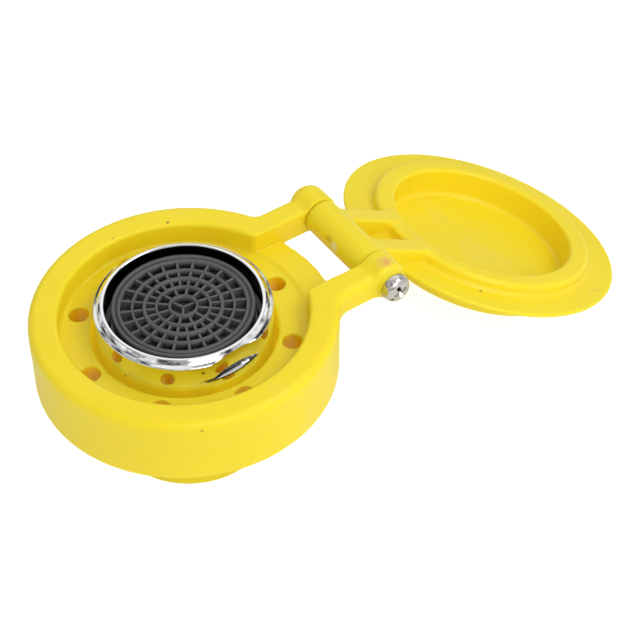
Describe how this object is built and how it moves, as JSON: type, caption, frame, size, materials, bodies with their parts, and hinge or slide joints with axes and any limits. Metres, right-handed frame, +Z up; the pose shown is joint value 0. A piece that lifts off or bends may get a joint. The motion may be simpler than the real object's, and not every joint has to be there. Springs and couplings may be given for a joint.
{
  "type": "eyewash spray head",
  "caption": "Round eyewash spray head: a moulded bowl with drain holes round an upturned aerator, with a flip-open dust cap on a screw hinge and a threaded inlet below.",
  "frame": {"origin": "on the bowl's axis at the spigot's bottom face, which is the inlet's mouth", "axes": "+Z up out of the aerator, +X from the bowl to the cap's hinge, the hinge turns about a line along Y"},
  "size_m": [0.1547, 0.071, 0.0417],
  "materials": {
    "yellow_plastic": "semi-gloss moulded ABS with faint stains",
    "bright_steel": "bright nickel-plated steel",
    "chrome": "mirror chrome plate",
    "grey_plastic": "matt mid-grey moulding",
    "white_plastic": "matt off-white acetal",
    "blue_plastic": "matt blue moulding",
    "black_rubber": "matt black rubber",
    "brass": "turned brass"
  },
  "bodies": {
    "head": {"bowl": "yellow_plastic", "hinge_screw": "bright_steel", "aerator_shell": "chrome", "outlet_grid": "grey_plastic", "fine_screen": "bright_steel", "coarse_screen": "bright_steel", "cartridge_body": "white_plastic", "diffuser_plate": "white_plastic", "regulator_core": "blue_plastic", "regulator_ring": "black_rubber", "inlet_strainer": "bright_steel", "aerator_washer": "black_rubber", "inlet_nipple": "brass", "nipple_gasket": "black_rubber", "lock_nut": "brass", "lock_washer": "bright_steel", "inlet_washer": "black_rubber"},
    "cap": {"dust_cap": "yellow_plastic"}
  },
  "joints": [
    {"name": "cap_hinge", "type": "hinge", "parent": "head", "child": "cap", "pos_m": [0.0452, 0, 0.0357], "axis": [0, 1, 0], "range_deg": [-200.96, 0]}
  ]
}
